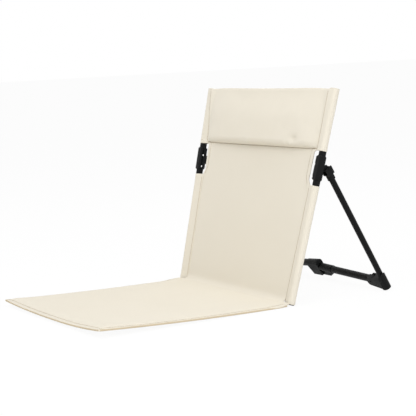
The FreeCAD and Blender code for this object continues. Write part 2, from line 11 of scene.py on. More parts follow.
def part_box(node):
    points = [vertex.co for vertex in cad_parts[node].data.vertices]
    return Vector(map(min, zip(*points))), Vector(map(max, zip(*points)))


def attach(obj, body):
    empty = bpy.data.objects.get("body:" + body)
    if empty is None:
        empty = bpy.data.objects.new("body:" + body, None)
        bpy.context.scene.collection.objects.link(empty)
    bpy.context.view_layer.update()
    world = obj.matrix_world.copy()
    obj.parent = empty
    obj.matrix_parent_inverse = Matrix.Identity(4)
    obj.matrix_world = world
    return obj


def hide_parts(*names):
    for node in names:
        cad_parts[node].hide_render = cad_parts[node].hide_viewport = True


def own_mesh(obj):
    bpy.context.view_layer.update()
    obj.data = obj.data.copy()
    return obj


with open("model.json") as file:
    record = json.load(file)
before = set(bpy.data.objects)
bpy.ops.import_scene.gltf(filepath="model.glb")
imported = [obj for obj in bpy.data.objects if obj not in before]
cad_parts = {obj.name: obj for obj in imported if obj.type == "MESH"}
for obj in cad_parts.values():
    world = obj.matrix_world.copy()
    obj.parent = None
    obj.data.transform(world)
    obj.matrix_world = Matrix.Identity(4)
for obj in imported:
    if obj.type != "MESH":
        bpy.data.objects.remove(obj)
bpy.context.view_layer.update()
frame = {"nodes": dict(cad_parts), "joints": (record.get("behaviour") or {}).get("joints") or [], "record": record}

# Camera, fitted to the photograph's straight edges
IMAGE = 416
CAMERA = dict(x=2.4182, y=-1.2884, z=0.5203, yaw=58.994, pitch=6.674, roll=-2.737, focal_px=1329.0)
SENSOR = 0.036

camera_data = bpy.data.cameras.new("camera")
camera_data.sensor_width = SENSOR * 1000
camera_data.lens = CAMERA["focal_px"] / IMAGE * SENSOR * 1000
camera = bpy.data.objects.new("camera", camera_data)
yaw, pitch, roll = (math.radians(CAMERA[key]) for key in ("yaw", "pitch", "roll"))
forward = Vector((-math.sin(yaw) * math.cos(pitch), math.cos(yaw) * math.cos(pitch), -math.sin(pitch)))
level = Vector((math.cos(yaw), math.sin(yaw), 0))
upright = level.cross(forward)
right = level * math.cos(roll) + upright * math.sin(roll)
above = upright * math.cos(roll) - level * math.sin(roll)
turned = Matrix((right, above, -forward)).transposed().to_4x4()
camera.matrix_world = Matrix.Translation((CAMERA["x"], CAMERA["y"], CAMERA["z"])) @ turned
bpy.context.scene.collection.objects.link(camera)
bpy.context.scene.camera = camera
bpy.context.scene.view_settings.view_transform = "Standard"

# Lengths in metres
MM = 0.001
SLEEVE_RADIUS = 7.8 * MM
SLEEVE_WALL = 0.9 * MM
PLUG_FLANGE = 3.0 * MM
SEAM_INSET = 20.0 * MM
SEAM_HALF = 2.1 * MM
PANEL_HALF = 1.15 * MM
SIDES = {"left": 1, "right": -1}


def smooth(value, low, high):
    """0 below low, 1 above high, and an even S between them."""
    share = min(max((value - low) / (high - low), 0.0), 1.0)
    return share * share * (3 - 2 * share)


def bump(value, centre, width):
    """A smooth hill of height 1."""
    return math.exp(-(((value - centre) / width) ** 2))


def ripple(x, y, seed, size):
    """Soft noise from -1 to 1, with features of about that size."""
    return noise.noise(Vector((x / size, y / size, seed * 7.31)))


def spread(points, step):
    """Values from one mark to the next, at most a step apart."""
    values = [points[0]]
    for a, b in zip(points, points[1:]):
        count = max(1, math.ceil(abs(b - a) / step))
        values += [a + (b - a) * (k + 1) / count for k in range(count)]
    return values


def graded(stretches):
    """Values along joined stretches, each given by its start, its end and its step."""
    values = [stretches[0][0]]
    for start, end, step in stretches:
        values += spread([start, end], step)[1:]
    return values


def mirrored(values):
    """Values that start at 0, with their opposites before them."""
    return [-v for v in reversed(values[1:])] + values


def grid(lines, columns, place):
    """Rows of front points, back points and flat coordinates, from place(line, column)."""
    spots = [[place(line, column) for column in columns] for line in lines]
    return [[[spot[k] for spot in row] for row in spots] for k in range(3)]


# The places that the frame gives


def tube_ends(node):
    """The two ends of a straight tube's centre line, the lower one first."""
    points = np.array([v.co for v in frame["nodes"][node].data.vertices])
    centre = points.mean(0)
    direction = np.linalg.svd(points - centre, full_matrices=False)[2][0]
    direction = direction if direction[2] > 0 else -direction
    reach = (points - centre) @ direction
    return Vector(centre + reach.min() * direction), Vector(centre + reach.max() * direction)


def joint(name):
    """A joint's entry in the frame."""
    return next(entry for entry in frame["joints"] if entry["name"] == name)


low_end, high_end = tube_ends("left_post_tube")
UP = (high_end - low_end).normalized()
REAR = UP.cross(Vector((1, 0, 0))).normalized()
OUT = REAR.cross(UP).normalized()
FOOT = low_end - UP * PLUG_FLANGE
RECLINE = math.atan2(-REAR.z, REAR.y)
CAP = PLUG_FLANGE + 1.3 * MM
BACK_TOP = (high_end - FOOT).dot(UP) + CAP
heights = [(v.co - FOOT).dot(UP) for v in frame["nodes"]["left_front_shell"].data.vertices]
COLLAR_LOW, COLLAR_HIGH = min(heights), max(heights)
HINGE = Vector(joint("seat_fold")["pos_m"])
MAT_LOW, MAT_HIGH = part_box("seat_edge_binding")


def at_post(out, rear, up, side=1):
    """A point by its place beside the left post's axis, or beside the right one's for side -1."""
    point = FOOT + OUT * out + REAR * rear + UP * up
    return Vector((point.x * side, point.y, point.z))


# Mesh building


def link(name, vertices, faces, uvs, body, material):
    """A mesh object with one flat coordinate for each vertex, riding on a body."""
    mesh = bpy.data.meshes.new(name)
    mesh.from_pydata([tuple(v) for v in vertices], [], faces)
    layer = mesh.uv_layers.new(name="cloth")
    for loop in mesh.loops:
        layer.data[loop.index].uv = uvs[loop.vertex_index]
    mesh.shade_smooth()
    mesh.materials.append(material)
    obj = bpy.data.objects.new(name, mesh)
    bpy.context.scene.collection.objects.link(obj)
    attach(obj, body)
    return obj


def skin(name, front, back, uv, body, slot, material, rim=0.45):
    """A closed shell from two grids of points, with a rounded rim between their borders."""
    rows, cols = len(front), len(front[0])
    count = rows * cols
    vertices = [p for row in front for p in row] + [p for row in back for p in row]
    uvs = [c for row in uv for c in row] * 2
    faces = []
    for i in range(rows - 1):
        for j in range(cols - 1):
            a, b, c, d = i * cols + j, i * cols + j + 1, (i + 1) * cols + j + 1, (i + 1) * cols + j
            faces.append((a, b, c, d))
            faces.append((count + d, count + c, count + b, count + a))
    border = [(0, j) for j in range(cols)]
    border += [(i, cols - 1) for i in range(1, rows)]
    border += [(rows - 1, j) for j in range(cols - 2, -1, -1)]
    border += [(i, 0) for i in range(rows - 2, 0, -1)]
    start = len(vertices)
    for i, j in border:
        inner_i = min(max(i, 1), rows - 2)
        inner_j = min(max(j, 1), cols - 2)
        middle = (front[i][j] + back[i][j]) / 2
        inside = (front[inner_i][inner_j] + back[inner_i][inner_j]) / 2
        outward = middle - inside
        reach = (front[i][j] - back[i][j]).length * rim
        vertices.append(middle + outward.normalized() * reach if outward.length > 0 else middle)
        uvs.append(uv[i][j])
    for k, (i, j) in enumerate(border):
        ni, nj = border[(k + 1) % len(border)]
        f0, f1 = i * cols + j, ni * cols + nj
        m0, m1 = start + k, start + (k + 1) % len(border)
        faces.append((f1, f0, m0, m1))
        faces.append((count + f0, count + f1, m1, m0))
    return link(name, vertices, faces, uvs, body, material)


def loft(name, sections, uvs, body, material, close_start=False, close_end=False):
    """A tube of closed sections."""
    size = len(sections[0])
    vertices = [p for section in sections for p in section]
    flat = [c for row in uvs for c in row]
    faces = []
    for i in range(len(sections) - 1):
        for j in range(size):
            k = (j + 1) % size
            faces.append((i * size + j, i * size + k, (i + 1) * size + k, (i + 1) * size + j))
    if close_start:
        faces.append(tuple(reversed(range(size))))
    if close_end:
        faces.append(tuple(range((len(sections) - 1) * size, len(sections) * size)))
    return link(name, vertices, faces, flat, body, material)


# Materials


def material_nodes(name):
    """A new material, its node tree and its main shader."""
    material = bpy.data.materials.new(name)
    material.use_nodes = True
    tree = material.node_tree
    shader = tree.nodes["Principled BSDF"]
    return material, tree, shader


def add(tree, kind, inputs=None, **settings):
    """A new node, with its settings, and its inputs linked or set."""
    node = tree.nodes.new(kind)
    for key, value in settings.items():
        setattr(node, key, value)
    for key, value in (inputs or {}).items():
        if isinstance(value, bpy.types.NodeSocket):
            tree.links.new(value, node.inputs[key])
        else:
            node.inputs[key].default_value = value
    return node


def math_node(tree, operation, a, b=0.0):
    """The output of a new maths node."""
    return add(tree, "ShaderNodeMath", {0: a, 1: b}, operation=operation).outputs[0]


def noise_texture(tree, where, scale, detail, **inputs):
    """The output of a new noise texture."""
    inputs |= {"Vector": where, "Scale": scale, "Detail": detail}
    return add(tree, "ShaderNodeTexNoise", inputs).outputs[0]


def mixed_colour(tree, factor, low, high):
    """A colour between two others, by a factor's output."""
    ends = {"Factor": factor, 6: (*low, 1), 7: (*high, 1)}
    return add(tree, "ShaderNodeMix", ends, data_type="RGBA").outputs[2]


THREAD = 0.62 * MM


def canvas(name, colour, shade, weave=1.0):
    """Woven cotton: a plain weave in the cloth's own flat coordinates, and soft changes of tone."""
    material, tree, shader = material_nodes(name)
    flat = add(tree, "ShaderNodeUVMap", uv_map="cloth").outputs["UV"]
    parts = add(tree, "ShaderNodeSeparateXYZ", {0: flat}).outputs
    turns = math.pi / THREAD
    warp = math_node(tree, "SINE", math_node(tree, "MULTIPLY", parts[0], turns))
    weft = math_node(tree, "SINE", math_node(tree, "MULTIPLY", parts[1], turns))
    crossing = math_node(tree, "MULTIPLY", warp, weft)
    slub = noise_texture(tree, flat, 420.0, 3.0, Roughness=0.6)
    height = math_node(tree, "ADD", math_node(tree, "MULTIPLY", crossing, 0.5), slub)
    weave_bump = {"Height": height, "Strength": 0.28 * weave, "Distance": 0.0002}
    raised = add(tree, "ShaderNodeBump", weave_bump)
    where = add(tree, "ShaderNodeTexCoord").outputs["Object"]
    cloud = math_node(tree, "MULTIPLY", noise_texture(tree, where, 9.0, 2.0), 0.55)
    fine = math_node(tree, "MULTIPLY", noise_texture(tree, flat, 900.0, 2.0), 0.45)
    tone = math_node(tree, "ADD", cloud, fine)
    tree.links.new(mixed_colour(tree, tone, shade, colour), shader.inputs["Base Color"])
    tree.links.new(raised.outputs[0], shader.inputs["Normal"])
    shader.inputs["Roughness"].default_value = 0.88
    shader.inputs["Sheen Weight"].default_value = 0.12
    shader.inputs["Sheen Roughness"].default_value = 0.5
    shader.inputs["Specular IOR Level"].default_value = 0.25
    return material


def hard(name, colour, roughness, grain, depth, metallic=0.0):
    """Powder coat, moulded plastic or steel: a fine grain, and faint changes in gloss."""
    material, tree, shader = material_nodes(name)
    where = add(tree, "ShaderNodeTexCoord").outputs["Object"]
    speck = noise_texture(tree, where, grain, 3.0)
    raised = add(tree, "ShaderNodeBump", {"Height": speck, "Strength": 0.25, "Distance": depth})
    broad = noise_texture(tree, where, 60.0, 4.0)
    gloss_range = {0: broad, 1: 0.3, 2: 0.7, 3: roughness - 0.06, 4: roughness + 0.08}
    gloss = add(tree, "ShaderNodeMapRange", gloss_range).outputs[0]
    lifted = tuple(c * 1.4 + 0.0008 for c in colour)
    tree.links.new(mixed_colour(tree, broad, colour, lifted), shader.inputs["Base Color"])
    tree.links.new(raised.outputs[0], shader.inputs["Normal"])
    tree.links.new(gloss, shader.inputs["Roughness"])
    shader.inputs["Metallic"].default_value = metallic
    shader.inputs["Specular IOR Level"].default_value = 0.5 if metallic else 0.15
    return material


CREAM = (0.805, 0.757, 0.652)
CREAM_SHADE = (0.765, 0.71, 0.6)
TAN = (0.64, 0.54, 0.38)
TAN_SHADE = (0.58, 0.48, 0.33)
cloth = canvas("cream_canvas", CREAM, CREAM_SHADE)
tape = canvas("tan_tape", TAN, TAN_SHADE, weave=1.6)
thread = hard("tan_thread", (0.34, 0.26, 0.15), 0.8, 2500.0, 0.0002)
powder = hard("black_powder_coat", (0.002, 0.0022, 0.0025), 0.48, 2600.0, 0.00012)
plastic = hard("black_moulding", (0.0026, 0.0029, 0.0032), 0.55, 3800.0, 0.0001)
steel = hard("rivet_steel", (0.82, 0.82, 0.82), 0.34, 1800.0, 0.00006, metallic=1.0)

SLOT_LOOKS = {"tube": powder, "pin": powder, "moulding": plastic, "rivet": steel}
SLOT_LOOKS |= {"canvas": cloth, "binding": tape}
for part in frame["record"]["subparts"]:
    node = frame["nodes"][part["node"]]
    node.data.materials.clear()
    node.data.materials.append(SLOT_LOOKS[part["material_slot"]])


# Cut-out beside each housing, in the post's own directions

CUT_INNER = 27.0 * MM
CUT_LOW = COLLAR_LOW - 1.0 * MM
CUT_HIGH = COLLAR_HIGH + 1.0 * MM
CUT_SLOPE = 14.0 * MM
CUT_CORNER = 5.0 * MM
HEM = 11.0 * MM


def cut_reach(up):
    """How far in from the post's axis the panel's edge lies at a height, round the cut-out."""
    if up <= CUT_LOW or up >= CUT_HIGH:
        return SEAM_INSET
    rising = smooth(up, CUT_LOW - 1 * MM, CUT_LOW + CUT_SLOPE)
    from_top = CUT_HIGH - up
    falling = 1.0
    if from_top < CUT_CORNER:
        falling = math.sqrt(max(0.0, 1 - (1 - from_top / CUT_CORNER) ** 2))
    return SEAM_INSET + (CUT_INNER - SEAM_INSET) * min(rising, falling)


def hem_distance(inset, up):
    """How far a point of the panel lies from the cut-out's edge, roughly."""
    across = inset - cut_reach(min(max(up, CUT_LOW + 2 * MM), CUT_HIGH - 2 * MM))
    above = max(up - CUT_HIGH, CUT_LOW - up, 0.0) * 1.6
    return math.hypot(max(across, 0.0), above)


# Back panel

FOLD_HEIGHT = HINGE.z - 1.2 * MM
FOLD_END = HINGE.y + 0.15 * MM
fold_meet = FOOT.y - (FOOT.z - FOLD_HEIGHT) * math.tan(RECLINE)
fold_turn = math.pi / 2 - RECLINE
fold_reach = fold_meet - FOLD_END
FOLD_RADIUS = fold_reach / math.tan(fold_turn / 2)
FOLD_START = fold_reach + (FOLD_HEIGHT - FOOT.z) / math.cos(RECLINE)
FOLD_BOTTOM = FOLD_START - FOLD_RADIUS * fold_turn
FULL_HALF = MAT_HIGH.x
MAT_HALF = FULL_HALF - 0.8 * MM


def back_line(up, offset=0.0):
    """The panel's middle seen from the side: a point's y and z, at an offset to the front."""
    if up >= FOLD_START:
        y = FOOT.y + up * math.sin(RECLINE) - offset * math.cos(RECLINE)
        z = FOOT.z + up * math.cos(RECLINE) + offset * math.sin(RECLINE)
        return y, z
    turned = min((FOLD_START - up) / FOLD_RADIUS, fold_turn)
    lean = RECLINE + turned
    centre_y, centre_z = FOLD_END, FOLD_HEIGHT + FOLD_RADIUS
    y = centre_y + (FOLD_RADIUS - offset) * math.cos(lean)
    z = centre_z - (FOLD_RADIUS - offset) * math.sin(lean)
    return y, z


def seam_x(up, inset):
    """The distance from the middle of the back to a line beside the left post, at a height."""
    return FOOT.x + OUT.x * -inset + UP.x * up


def panel_half(up):
    """The panel's half width: at the seams, in at the cut-outs, and full in front of the feet."""
    if up > FOLD_START:
        return seam_x(up, cut_reach(up))
    y, _ = back_line(up)
    clear = FOOT.y - y
    share = smooth(clear, SLEEVE_RADIUS - 3.0 * MM, SLEEVE_RADIUS + 1.5 * MM)
    base = seam_x(0.0, SEAM_INSET)
    return base + (MAT_HALF - base) * share


SAG = 2.6 * MM
HEM_RISE = 1.1 * MM
HEM_GROOVE = 0.7 * MM
SEAM_GROOVE = 0.5 * MM
TOP_SAG = 3.0 * MM
SEAM_DIP = 3.8 * MM
FLAT_ABOVE_FOLD = 30 * MM


def panel_relief(x, up):
    """Sag, drawn lines and hems: how far the cloth stands to the front of its flat plane."""
    half = seam_x(up, SEAM_INSET)
    share = abs(x) / half
    sag = -SAG * (1 - share**2) * smooth(up, 20 * MM, 120 * MM)
    sag *= 1 - 0.4 * smooth(up, 250 * MM, 330 * MM)
    waves = 0.9 * MM * ripple(x, up * 0.7, 1, 0.13) + 0.4 * MM * ripple(x, up, 2, 0.05)
    waves *= 1 - share**6
    raised = 0.0
    if CUT_LOW - 12 * MM < up < CUT_HIGH + 10 * MM:
        inset = seam_x(up, 0.0) - abs(x)
        gap = hem_distance(inset, up)
        raised = HEM_RISE * (1 - smooth(gap, HEM, HEM + 1.5 * MM))
        raised -= HEM_GROOVE * bump(gap, HEM, 1.1 * MM)
    edge = -SEAM_GROOVE * bump(half - abs(x), 1.0 * MM, 2.0 * MM)
    return (sag + waves + raised + edge) * smooth(up, FOLD_START, FOLD_START + FLAT_ABOVE_FOLD)


def top_drop(share):
    """How far the top edge lies below the posts' tops: it sags, and is sewn lower at the seams."""
    return TOP_SAG * (1 - share**2) + SEAM_DIP * share**6


def panel_point(x, up, offset):
    """A point in front of the panel's middle plane, or behind it."""
    y, z = back_line(up, offset)
    return Vector((x, y, z))


top_row = BACK_TOP - 1.5 * MM
above_slope = CUT_LOW + CUT_SLOPE + 4 * MM
below_corner = CUT_HIGH - CUT_CORNER - 2 * MM
ups = graded(
    [
        (FOLD_BOTTOM, FOLD_START, 1.4 * MM),
        (FOLD_START, CUT_LOW - 3 * MM, 5 * MM),
        (CUT_LOW - 3 * MM, above_slope, 1.2 * MM),
        (above_slope, below_corner, 3 * MM),
        (below_corner, CUT_HIGH + 2 * MM, 0.6 * MM),
        (CUT_HIGH + 2 * MM, top_row, 5 * MM),
    ]
)
HEM_SHARES = [0.915, 0.925, 0.932, 0.937, 0.941, 0.945, 0.95]
EDGE_SHARES = [0.957, 0.965, 0.975, 0.985, 0.9925, 0.997]
broad_shares = spread([0.0, 0.75, 0.9, 1.0], 0.03)
shares = mirrored(sorted({round(v, 4) for v in broad_shares + HEM_SHARES + EDGE_SHARES}))


def panel_spot(up, share):
    """The panel's front, back and flat place at a height and a share of its half width."""
    x = panel_half(up) * share
    low = up - top_drop(share) * smooth(up, 380 * MM, top_row)
    relief = panel_relief(x, up)
    front_point = panel_point(x, low, relief + PANEL_HALF)
    return front_point, panel_point(x, low, relief - PANEL_HALF), (x, up)


panel = skin("back_cloth", *grid(ups, shares, panel_spot), "left_post", "canvas", cloth)
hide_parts("back_panel")
area = sum(2 * panel_half((a + b) / 2) * (b - a) for a, b in zip(ups, ups[1:]))
flat = (2 * panel_half(ups[-1]), ups[-1] - ups[0])


# Sleeves round the posts

SEAM_PULL_OUT = 5.5 * MM
SEAM_PULL_FRONT = 7.2 * MM
FLAP_DIP = 4.4 * MM
SLEEVE_HEM = 9.5 * MM
RING_STEP = 2.2 * MM
FLAP_STEPS = 6
ROUND_STEPS = 22
# Rises above the sleeve's end, and scales
CLOSING_RINGS = ((0.4 * MM, 0.93), (0.8 * MM, 0.75), (0.9 * MM, 0.3))


def seam_place(up, upper):
    """The front seam beside a post: it is pulled forward and outward by the headrest's padding."""
    lift = smooth(up, CUT_HIGH, BACK_TOP) if upper else 0.0
    return -SEAM_INSET + SEAM_PULL_OUT * lift, -SEAM_HALF - SEAM_PULL_FRONT * lift


def between(a, b, share):
    """A place on the line from a to b."""
    return a[0] + (b[0] - a[0]) * share, a[1] + (b[1] - a[1]) * share


def teardrop(seam, radius, pull):
    """A section round the post: from the front seam, round the tube, to the rear seam."""
    points = []
    for (px, py), side in ((seam, 1), ((-SEAM_INSET + pull, SEAM_HALF), -1)):
        angle, reach = math.atan2(py, px), math.hypot(px, py)
        meet = angle + side * math.acos(radius / reach)
        points.append(((px, py), meet))
    (front_seam, start), (rear_seam, end) = points
    start = (start + math.pi) % (2 * math.pi) - math.pi
    end = (end + math.pi) % (2 * math.pi) - math.pi
    touch = radius * math.cos(start), radius * math.sin(start)
    leave = radius * math.cos(end), radius * math.sin(end)
    turns = [start + (end - start) * k / ROUND_STEPS for k in range(ROUND_STEPS)]
    loop = [between(front_seam, touch, k / FLAP_STEPS) for k in range(FLAP_STEPS)]
    loop += [(radius * math.cos(turn), radius * math.sin(turn)) for turn in turns]
    loop += [between(leave, rear_seam, k / FLAP_STEPS) for k in range(FLAP_STEPS + 1)]
    return loop


def flap_drop(x):
    """How far a sleeve's closed top dips between the post and the seam."""
    return FLAP_DIP * smooth(-x, SLEEVE_RADIUS - 1 * MM, SEAM_INSET - 4 * MM)


def closing_rings(high, side):
    """The rings that draw a sleeve's top shut."""
    shape = teardrop(seam_place(high, upper=True), SLEEVE_RADIUS, 0.0)
    mid_x = sum(p[0] for p in shape) / len(shape)
    mid_y = sum(p[1] for p in shape) / len(shape)
    rings = []
    for rise, scale in CLOSING_RINGS:
        spots = [(mid_x + (x - mid_x) * scale, mid_y + (y - mid_y) * scale) for x, y in shape]
        rings.append([at_post(x, y, high + rise - flap_drop(x), side) for x, y in spots])
    return rings


def sleeve_rings(up, low, high, side, closed):
    """A sleeve's outer and inner ring at a height, with its hems, waves and dipping top."""
    gap = up - low if closed else min(up - low, high - up)
    swell = 0.35 * MM * (1 - smooth(gap, SLEEVE_HEM - 1 * MM, SLEEVE_HEM + 0.5 * MM))
    swell -= 0.3 * MM * bump(gap, SLEEVE_HEM, 0.9 * MM)
    tuck = smooth(up, high - 30 * MM, high) if closed else 0.0
    seam = seam_place(up, upper=closed)
    shape = teardrop(seam, SLEEVE_RADIUS + swell, 0.0)
    core = teardrop((seam[0] + 3 * MM, seam[1] + 0.35 * MM), SLEEVE_RADIUS - SLEEVE_WALL, 3 * MM)
    outer, inner = [], []
    for k, ((x, y), (cx, cy)) in enumerate(zip(shape, core)):
        wave = 0.3 * MM * ripple(up, k * 2.5 * MM, 5 + side, 0.03)
        wave += 0.25 * MM * ripple(up * 2.5, k * 1.5 * MM, 8 + side, 0.02) * bump(x, -14 * MM, 7 * MM)
        grow = 1 + wave / math.hypot(x, y)
        outer.append(at_post(x * grow, y * grow, up - tuck * flap_drop(x), side))
        inner.append(at_post(cx, cy, up - tuck * flap_drop(cx), side))
    return outer, inner


def sleeve(name, low, high, side, closed):
    """A cloth tube on a post, with a hem at each open end."""
    marks = [low, low + 1.5 * MM, low + 14 * MM, high - 14 * MM, high - 1.5 * MM, high]
    heights = spread(marks, 4 * MM)
    pairs = [sleeve_rings(up, low, high, side, closed) for up in heights]
    outer = [pair[0] for pair in pairs]
    inner = [pair[1] for pair in pairs]
    flat_out = [[(RING_STEP * (k + 1), up) for k in range(len(outer[0]))] for up in heights]
    flat_in = list(reversed(flat_out))
    if closed:
        outer += closing_rings(high, side)
        flat_out += [flat_out[-1]] * len(CLOSING_RINGS)
    else:
        outer.append(inner[-1])
        flat_out.append(flat_out[-1])
    sections = list(reversed(inner)) + outer
    if side < 0:
        sections = [section[::-1] for section in sections]
    body = "left_post" if side > 0 else "right_post"
    return loft(name, sections, flat_in + flat_out, body, cloth, closed, closed)


LOWER_START = 1.6 * MM
LOWER_END = COLLAR_LOW - 0.6 * MM
UPPER_START = COLLAR_HIGH + 0.6 * MM
UPPER_END = BACK_TOP - 1 * MM
for label, side in SIDES.items():
    lower = sleeve(f"{label}_sleeve_lower", LOWER_START, LOWER_END, side, closed=False)
    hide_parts(f"{label}_lower_sleeve")
    upper = sleeve(f"{label}_sleeve_upper", UPPER_START, UPPER_END, side, closed=True)
    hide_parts(f"{label}_upper_sleeve")


# Rivet heads on the housings' flanges

HEAD_RADIUS = 2.3 * MM
HEAD_HEIGHT = 1.4 * MM
HEAD_RINGS = 5
HEAD_SPOKES = 20


def dome(centre, outward, radius, height, vertices, faces):
    """A low round head that stands on a face."""
    side = outward.orthogonal().normalized()
    other = outward.cross(side)
    first = len(vertices)
    vertices.append(centre + outward * height)
    for ring in range(1, HEAD_RINGS + 1):
        slope = math.pi / 2 * ring / HEAD_RINGS
        for k in range(HEAD_SPOKES):
            turn = 2 * math.pi * k / HEAD_SPOKES
            spoke = side * math.cos(turn) + other * math.sin(turn)
            vertices.append(centre + spoke * radius * math.sin(slope) + outward * height * math.cos(slope))
    for k in range(HEAD_SPOKES):
        n = (k + 1) % HEAD_SPOKES
        faces.append((first, first + 1 + k, first + 1 + n))
        for ring in range(HEAD_RINGS - 1):
            a, b = first + 1 + ring * HEAD_SPOKES + k, first + 1 + ring * HEAD_SPOKES + n
            faces.append((a, a + HEAD_SPOKES, b + HEAD_SPOKES, b))
    last = first + 1 + (HEAD_RINGS - 1) * HEAD_SPOKES
    faces.append(tuple(last + k for k in reversed(range(HEAD_SPOKES))))


def rivet_heads(label, side):
    """A head in front of each end of a housing's two flange rivets."""
    rivets = frame["nodes"][f"{label}_flange_rivets"]
    places = [Vector((side * v.co.x, v.co.y, v.co.z)) - FOOT for v in rivets.data.vertices]
    out = sum(p.dot(OUT) for p in places) / len(places)
    front = min(p.dot(REAR) for p in places) - 0.05 * MM
    ups = [p.dot(UP) for p in places]
    middle = sum(ups) / len(ups)
    heads, faces = [], []
    for half in ([up for up in ups if up > middle], [up for up in ups if up <= middle]):
        centre = at_post(out, front, (max(half) + min(half)) / 2, side)
        dome(centre, -REAR, HEAD_RADIUS, HEAD_HEIGHT, heads, faces)
    flat = [(0.0, 0.0)] * len(heads)
    link(f"{label}_rivet_heads", heads, faces, flat, f"{label}_post", steel)


for label, side in SIDES.items():
    rivet_heads(label, side)


# Cloth settling


CLOTH_FRAMES = 20


def settle(obj, free, pressure, slack, cap):
    """Lets the free points of a sewn pad fill out under pressure, with a little more cloth than room."""
    scene = bpy.context.scene
    sewn = obj.vertex_groups.new(name="sewn")
    sewn.add([v.index for v in obj.data.vertices if v.index not in free], 1.0, "REPLACE")
    modifier = obj.modifiers.new("cloth", "CLOTH")
    settings = modifier.settings
    settings.vertex_group_mass = "sewn"
    settings.quality = 8
    settings.mass = 0.2
    settings.tension_stiffness = settings.compression_stiffness = 18
    settings.shear_stiffness = 8
    settings.bending_stiffness = 0.4
    settings.use_pressure = True
    settings.uniform_pressure_force = pressure
    settings.shrink_min = -slack
    settings.effector_weights.gravity = 0
    modifier.collision_settings.use_collision = False
    modifier.point_cache.frame_start = 1
    modifier.point_cache.frame_end = CLOTH_FRAMES
    for step in range(1, CLOTH_FRAMES + 1):
        scene.frame_set(step)
    settled = obj.evaluated_get(bpy.context.evaluated_depsgraph_get()).data
    places = [v.co.copy() for v in settled.vertices]
    obj.modifiers.remove(modifier)
    scene.frame_set(1)
    for vertex, place in zip(obj.data.vertices, places):
        shift = place - vertex.co
        if shift.length > cap:
            shift *= cap / shift.length
        vertex.co += shift
    obj.vertex_groups.clear()


# Headrest

PAD_LOW = 324.0 * MM
PAD_DEPTH = 16.0 * MM
PAD_OVERLAP = 0.6 * MM
PAD_EDGE = 0.9 * MM
# Across the back, and up from the pad's bottom stitch
DIMPLE = (142 * MM, 15 * MM)
DIMPLE_DEPTH = 5.0 * MM
PUCKERS = (-30 * MM, 112 * MM, 131 * MM)
PUCKER_RISE = 3.0 * MM
TOP_BEHIND = 2.0 * MM
TOP_ROLL = 1.4 * MM
ROLL_LENGTH = 8 * MM
pad_rises = spread([0.0, 0.008, 0.02, 0.045, 0.08, 0.16, 1.0], 0.035)
pad_shares = spread([-1.0, -0.97, 0.97, 1.0], 0.0125)


def pad_swell(share):
    """The pad's fullness from the bottom stitch to the top edge."""
    rising = (1 - (1 - min(share / 0.1, 1.0)) ** 2) ** 0.5
    falling = 1 - 0.55 * smooth(share, 0.45, 1.0)
    return rising * falling


def pad_depth(x, up, half):
    """How far the pad stands in front of the panel."""
    share = (up - PAD_LOW) / (BACK_TOP - PAD_LOW)
    out = abs(x) / half
    fullness = (1 - min(out, 1.0) ** 8) ** 0.6 * pad_swell(share)
    depth = (PAD_DEPTH - 4 * MM * out**2) * fullness
    depth += 1.2 * MM * ripple(x + up, up - x * 0.4, 3, 0.07) * fullness
    depth += 0.6 * MM * ripple(x * 1.3, up, 4, 0.035) * fullness
    rise = up - PAD_LOW
    depth -= DIMPLE_DEPTH * bump(x, DIMPLE[0], 12 * MM) * bump(rise, DIMPLE[1], 6 * MM)
    for place in PUCKERS:
        depth += PUCKER_RISE * bump(x, place, 4.0 * MM) * bump(rise, 2 * MM, 6 * MM)
    return max(depth, 0.0)


def pad_front(share, part):
    """The pad's face, from its bottom stitch up, at a part of its half width."""
    up = PAD_LOW + (BACK_TOP - PAD_LOW) * share
    seam_out, seam_rear = seam_place(up, upper=True)
    half = seam_x(up, -seam_out) + PAD_OVERLAP
    x = half * part
    edge = (-seam_rear - PAD_EDGE) * smooth(share, 0.0, 0.12) * abs(part) ** 10
    depth = max(pad_depth(x, up, half), edge) + PANEL_HALF
    low = up - top_drop(part) * share
    return panel_point(x, low, depth), panel_point(x, low, PANEL_HALF * 0.4), (x, up)


def pad_roll(angle, part):
    """The round top edge, over to the panel's rear."""
    seam_out, seam_rear = seam_place(BACK_TOP, upper=True)
    half = seam_x(BACK_TOP, -seam_out) + PAD_OVERLAP
    x = half * part
    full = max((-seam_rear - PAD_EDGE) * part**10, pad_depth(x, BACK_TOP, half)) + PANEL_HALF
    middle, radius = (full - TOP_BEHIND) / 2, (full + TOP_BEHIND) / 2
    turn = math.radians(angle)
    top = BACK_TOP - top_drop(part)
    front_point = panel_point(x, top + TOP_ROLL * math.sin(turn), middle + radius * math.cos(turn))
    return front_point, panel_point(x, top, 0.0), (x, BACK_TOP + angle / 180 * ROLL_LENGTH)


def pad_hem(down, part):
    """The hem that hangs behind the panel."""
    x = (seam_x(BACK_TOP, SEAM_INSET) - 0.2 * MM) * part
    low = BACK_TOP - top_drop(part) - down
    flat_place = (x, BACK_TOP + ROLL_LENGTH + down)
    return panel_point(x, low, -TOP_BEHIND), panel_point(x, low, -TOP_BEHIND / 2), flat_place


pad_rows = grid(pad_rises, pad_shares, pad_front)
roll_rows = grid((30, 60, 90, 120, 150, 180), pad_shares, pad_roll)
hem_rows = grid((4 * MM, 8 * MM, 12 * MM, 14 * MM), pad_shares, pad_hem)
pad_rows = [face + roll + hem for face, roll, hem in zip(pad_rows, roll_rows, hem_rows)]
headrest = skin("headrest_cloth", *pad_rows, "left_post", "canvas", cloth)
pad_columns = len(pad_shares)
loose = {
    i * pad_columns + j for i in range(4, len(pad_rises) - 1) for j in range(3, pad_columns - 3)
}
settle(headrest, loose, pressure=1.2, slack=0.03, cap=3.5 * MM)
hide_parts("headrest_pad")


# Seat mat

